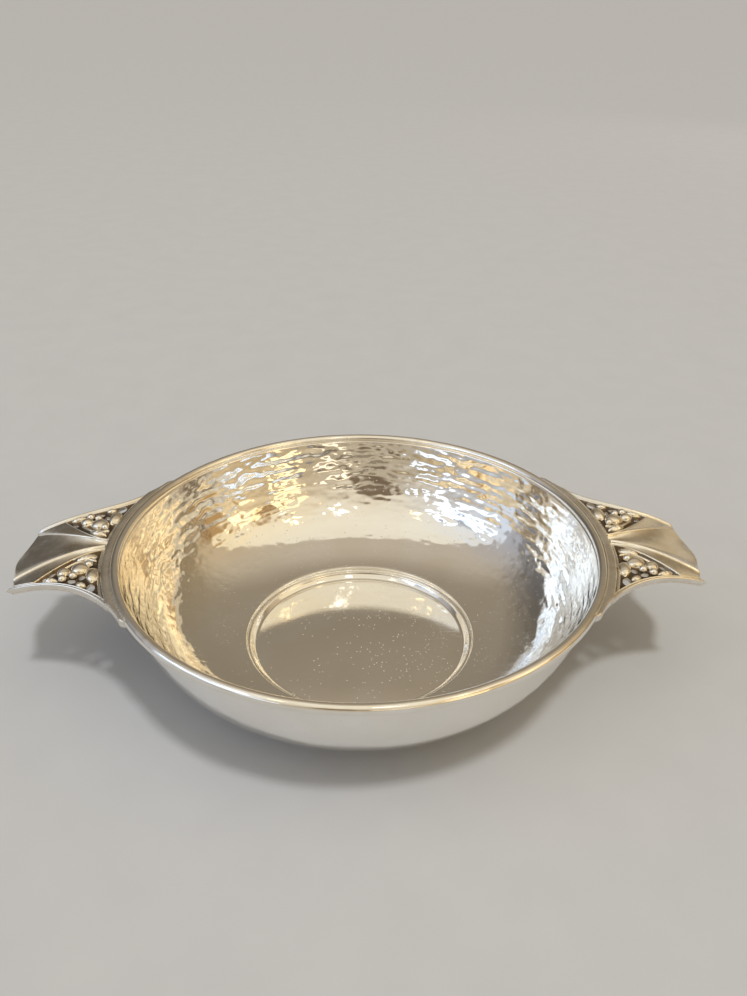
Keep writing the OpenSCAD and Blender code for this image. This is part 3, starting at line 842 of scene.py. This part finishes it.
SCRATCH_RELIEF_M, PEEL_RELIEF_M, SPECK_RELIEF_M = 0.00002, 0.00003, 0.0001


def new_material(name, values):
    """Material with its shader's plain values, its node tree and the shader's inputs."""
    mat = bpy.data.materials.new(name)
    mat.use_nodes = True
    shader = mat.node_tree.nodes["Principled BSDF"]
    for key, value in values.items():
        shader.inputs[key].default_value = value
    return mat, mat.node_tree, shader.inputs


def silver(name, bright, worn, polished, dull, grain, scratch, use_uv=True):
    """Silver whose tone and polish vary with wear, with fine scratches along the form."""
    mat, tree, shader = new_material(name, {"Metallic": 1.0})
    place = tree.nodes.new("ShaderNodeTexCoord").outputs
    cloud = noise(tree, place["Object"], grain, 6, 0.6)
    connect(tree, ramp(tree, cloud, [(0.34, worn), (0.64, bright)]), shader["Base Color"])

    if use_uv:
        drawn = stretched(tree, place["UV"], (26, 900, 1))
    else:
        drawn = stretched(tree, place["Object"], (300, 300, 1800))
    lines = noise(tree, drawn, 1, 3)
    wear = calculated(tree, "MULTIPLY_ADD", lines, 0.35, cloud)
    connect(tree, ranged(tree, wear, 0.45, 0.90, polished, dull), shader["Roughness"])

    pits = ranged(tree, cells(tree, place["Object"], 420)["Distance"], 0.05, 0.16)
    relief = calculated(tree, "MULTIPLY_ADD", pits, 0.5, lines)
    connect(tree, bumped(tree, relief, SCRATCH_RELIEF_M, strength=scratch), shader["Normal"])
    return mat


def hammered_silver(name, bright, worn, polished, dull):
    """Polished silver with a faint orange-peel, a few pits, patches of specks and short scratches."""
    mat, tree, shader = new_material(name, {"Metallic": 1.0})
    place = tree.nodes.new("ShaderNodeTexCoord").outputs["Object"]
    cloud = noise(tree, place, 70, 5)
    connect(tree, ramp(tree, cloud, [(0.36, worn), (0.64, bright)]), shader["Base Color"])

    one_way = ranged(tree, noise(tree, stretched(tree, place, (40, 2600, 300), 0.5), 1, 2), 0.66, 0.74)
    other_way = ranged(tree, noise(tree, stretched(tree, place, (60, 2200, 300), 2.0), 1, 2), 0.67, 0.75)
    scratches = calculated(tree, "ADD", one_way, other_way)
    wear = calculated(tree, "ADD", cloud, ranged(tree, scratches, 0, 1, 0, 0.25))
    connect(tree, ranged(tree, wear, 0.3, 0.9, polished, dull), shader["Roughness"])

    peel = ranged(tree, noise(tree, place, 1400, 3), 0, 1, 0, 0.22)
    pits = ranged(tree, cells(tree, place, 300)["Distance"], 0.03, 0.09, 0, 0.5)
    relief = calculated(tree, "ADD", peel, pits)
    relief = calculated(tree, "ADD", relief, ranged(tree, scratches, 0, 1, 0.12, 0))
    skin = bumped(tree, relief, PEEL_RELIEF_M, strength=0.5)

    dots = cells(tree, place, 1150)
    patches = ranged(tree, noise(tree, place, 75, 2), 0.35, 0.65, -0.22, 0.16)
    chosen = ranged(tree, calculated(tree, "ADD", dots["Color"], patches), 0.68, 0.70)
    specks = calculated(tree, "MULTIPLY", ranged(tree, dots["Distance"], 0.08, 0.21, 1, 0), chosen)
    connect(tree, bumped(tree, specks, SPECK_RELIEF_M, under=skin), shader["Normal"])
    return mat


def darken_with_tarnish_and_painted_shade(mat, dark):
    """Mixes a tarnish and painted shade into the tone of a material's upward faces, darkening a pierced
    panel's ground where shade falls in its recesses.
    """
    tree = mat.node_tree
    base = tree.nodes["Principled BSDF"].inputs["Base Color"]
    facing = tree.nodes.new("ShaderNodeSeparateXYZ")
    connect(tree, tree.nodes.new("ShaderNodeNewGeometry").outputs["True Normal"], facing.inputs["Vector"])
    share = ranged(tree, facing.outputs["Z"], 0.2, 0.6)
    connect(tree, multiplied(tree, share, base.links[0].from_socket, (*dark, 1)), base)


def pale_floor():
    mat, tree, shader = new_material("pale_floor", {"Roughness": 0.85, "Specular IOR Level": 0.15})
    grain = noise(tree, tree.nodes.new("ShaderNodeTexCoord").outputs["Object"], 60, 4)
    connect(tree, ramp(tree, grain, [(0, (0.46, 0.48, 0.52)), (1, (0.50, 0.52, 0.56))]), shader["Base Color"])
    return mat


# Stage, light and camera

FLOOR_HALF_M = 30
LAMP_DISTANCE_M = 1.2
# Lamps face a point a little above the table
LAMP_AIM = Vector((0, 0, 0.02))
GOLD, CREAM, WHITE, COOL = (1.0, 0.74, 0.38), (1.0, 0.88, 0.68), (1.0, 0.96, 0.90), (0.62, 0.77, 1.0)
# The key: azimuth and elevation, spread and strength
KEY_PLACE, KEY_SPREAD, KEY_STRENGTH = (163, 69), 6, 1.3
# Soft lamps: azimuth and elevation, width and height, colour and radiance
LAMPS = {
    "gold_near": (108, 30, 14, 14, GOLD, 0.85),
    "gold_far": (136, 31, 15, 13, GOLD, 0.75),
    "cool_near": (-99, 32, 18, 16, COOL, 1.05),
    "cool_far": (-122, 31, 22, 14, COOL, 1.1),
    "lamp_left": (122, 58, 5, 5, GOLD, 4),
    "lamp_mid": (165, 61, 4, 8, WHITE, 2.5),
    "lamp_right": (-132, 57, 4, 5, GOLD, 3),
    "window": (-116, 46, 11, 8, COOL, 1.5),
    "front_left": (140, 14, 16, 9, GOLD, 1.5),
    "front_mid": (166, 12, 18, 4, CREAM, 1.2),
    "front_right": (-140, 13, 16, 8, COOL, 1.2),
    "back_right": (38, 14, 36, 14, CREAM, 0.33),
}
# Tones of the room, by degrees from the back over the top to the front: a wall, a bright ceiling, the front
ROOM_TONES = [
    (0, (0.25, 0.21, 0.16)), (34, (0.28, 0.235, 0.175)), (48, (0.32, 0.265, 0.195)),
    (58, (0.49, 0.415, 0.32)), (66, (0.54, 0.46, 0.36)), (76.5, (0.54, 0.455, 0.355)),
    (78, (0.90, 0.82, 0.665)), (100, (0.94, 0.86, 0.70)), (130, (0.87, 0.775, 0.61)),
    (150, (0.71, 0.605, 0.455)), (161, (0.59, 0.495, 0.365)), (180, (0.46, 0.375, 0.26)),
]
# Soft dark flags in front of the quaich and round it: azimuth and elevation, outer and inner edge, tone
FLAGS = [
    ((-170, 27), (15, 7), (0.30, 0.25, 0.21)), ((121, 36), (11, 5), (0.45, 0.33, 0.22)),
    ((92, 18), (13, 6), (0.50, 0.38, 0.26)), ((-109, 38), (10, 4), (0.48, 0.50, 0.54)),
    ((-35, 15), (30, 10), (0.52, 0.52, 0.53)),
]
# Tints of the room from the left to the right
SIDE_TINTS = [(0, (0.76, 0.93, 1.36)), (0.32, (0.97, 1, 1.05)), (0.62, (1, 1, 0.98)), (1, (1.10, 0.97, 0.72))]


def build_floor():
    mesh = bpy.data.meshes.new("floor")
    corners = [(x * FLOOR_HALF_M, y * FLOOR_HALF_M, 0) for x, y in ((-1, -1), (1, -1), (1, 1), (-1, 1))]
    mesh.from_pydata(corners, [], [(0, 1, 2, 3)])
    obj = bpy.data.objects.new("floor", mesh)
    bpy.context.scene.collection.objects.link(obj)
    mesh.materials.append(pale_floor())


def direction(az, el):
    """Unit vector at an azimuth from +Y towards +X and an elevation."""
    az, el = math.radians(az), math.radians(el)
    return Vector((math.cos(el) * math.sin(az), math.cos(el) * math.cos(az), math.sin(el)))


def add_light(name, kind, az, el, colour, energy):
    """Light that shines from a direction towards the quaich."""
    data = bpy.data.lights.new(name, kind)
    data.color = colour
    data.energy = energy
    obj = bpy.data.objects.new(name, data)
    obj.rotation_euler = (-direction(az, el)).to_track_quat("-Z", "Y").to_euler()
    bpy.context.scene.collection.objects.link(obj)
    return obj


def build_lamp(name, az, el, wide, high, colour, radiance):
    """Flat soft lamp. Its place and size are angles seen from the quaich."""
    size, size_y = (2 * LAMP_DISTANCE_M * math.tan(math.radians(a / 2)) for a in (wide, high))
    obj = add_light(name, "AREA", az, el, colour, radiance * math.pi * size * size_y)
    obj.data.shape = "RECTANGLE"
    obj.data.size, obj.data.size_y = size, size_y
    obj.location = direction(az, el) * LAMP_DISTANCE_M + LAMP_AIM


def build_key():
    """Soft main light that sets the shadow. It stays out of the mirror-bright silver."""
    obj = add_light("key", "SUN", *KEY_PLACE, WHITE, KEY_STRENGTH)
    obj.data.angle = math.radians(KEY_SPREAD)
    obj.visible_glossy = False


def build_room():
    world = bpy.data.worlds.new("room")
    bpy.context.scene.world = world
    world.use_nodes = True
    tree = world.node_tree
    towards = tree.nodes.new("ShaderNodeTexCoord").outputs["Generated"]
    parts = tree.nodes.new("ShaderNodeSeparateXYZ")
    connect(tree, towards, parts.inputs["Vector"])
    over = calculated(tree, "ARCTAN2", parts.outputs["Z"], parts.outputs["Y"])
    tones = ramp(tree, ranged(tree, over, 0, math.pi), [(turn / 180, colour) for turn, colour in ROOM_TONES])
    tints = ramp(tree, ranged(tree, parts.outputs["X"], -1, 1), SIDE_TINTS)
    colour = multiplied(tree, 1.0, tones, tints)
    for place, edges, tone in FLAGS:
        side = tree.nodes.new("ShaderNodeVectorMath")
        side.operation = "DOT_PRODUCT"
        side.inputs[1].default_value = direction(*place)
        connect(tree, towards, side.inputs[0])
        share = ranged(tree, side.outputs["Value"], *(math.cos(math.radians(a)) for a in edges))
        colour = multiplied(tree, share, colour, (*tone, 1))
    connect(tree, colour, tree.nodes["Background"].inputs["Color"])


def build_camera():
    yaw, pitch, roll = (math.radians(a) for a in (YAW, PITCH, ROLL))
    ahead = Vector((math.sin(yaw) * math.cos(pitch), math.cos(yaw) * math.cos(pitch), -math.sin(pitch)))
    level = Vector((math.cos(yaw), -math.sin(yaw), 0))
    up = level.cross(ahead)
    right = math.cos(roll) * level + math.sin(roll) * up
    up = right.cross(ahead)
    data = bpy.data.cameras.new("camera")
    data.sensor_width = SENSOR_MM
    data.lens = data.sensor_width * FOCAL_PX / IMAGE_H
    data.clip_start = 0.01
    obj = bpy.data.objects.new("camera", data)
    turn = Matrix((right, up, -ahead)).transposed().to_4x4()
    obj.matrix_world = Matrix.Translation(Vector(CAMERA_MM) * MM) @ turn
    bpy.context.scene.collection.objects.link(obj)
    bpy.context.scene.camera = obj


bright_silver = hammered_silver("bright_silver", (0.93, 0.91, 0.87), (0.90, 0.87, 0.81), 0.05, 0.13)
wire_silver = silver("wire_silver", (0.93, 0.905, 0.86), (0.88, 0.84, 0.76), 0.09, 0.20, 120, 0.12)
satin_silver = silver("satin_silver", (0.89, 0.86, 0.80), (0.80, 0.75, 0.66), 0.18, 0.32, 150, 0.2)
warm_silver = silver("warm_silver", (0.91, 0.87, 0.79), (0.78, 0.70, 0.56), 0.14, 0.28, 220, 0.2)
leaf_silver = silver("leaf_silver", (0.93, 0.89, 0.81), (0.80, 0.72, 0.57), 0.07, 0.17, 260, 0.15)
ground_silver = silver("ground_silver", (0.86, 0.82, 0.75), (0.70, 0.63, 0.52), 0.26, 0.46, 500, 0.6, False)
# The panel ground is darkened partly by tarnish and partly by painted shade of its deep recesses, on its
# upward faces
darken_with_tarnish_and_painted_shade(ground_silver, (0.20, 0.165, 0.13))

build_camera()
build_floor()
build_room()
build_key()
for lamp_name, lamp in LAMPS.items():
    build_lamp(lamp_name, *lamp)

build_bowl(bright_silver)
build_rim_wire(wire_silver)
build_foot_ring(satin_silver)
for lug in ("left", "right"):
    build_collar(lug, satin_silver)
    build_tongue(lug, warm_silver)
    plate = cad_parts[f"{lug}_plate"]
    plate.data.materials.clear()
    plate.data.materials.append(ground_silver)
    for lug_half in ("near", "far"):
        build_ridge(lug, lug_half, warm_silver)
        build_border(lug, lug_half, satin_silver)
        build_bead(lug, lug_half, satin_silver)
        build_stem(lug, lug_half, leaf_silver)
        build_leaves(lug, lug_half, leaf_silver)
        build_berries(lug, lug_half, wire_silver)

bpy.context.scene.view_settings.view_transform = "Standard"
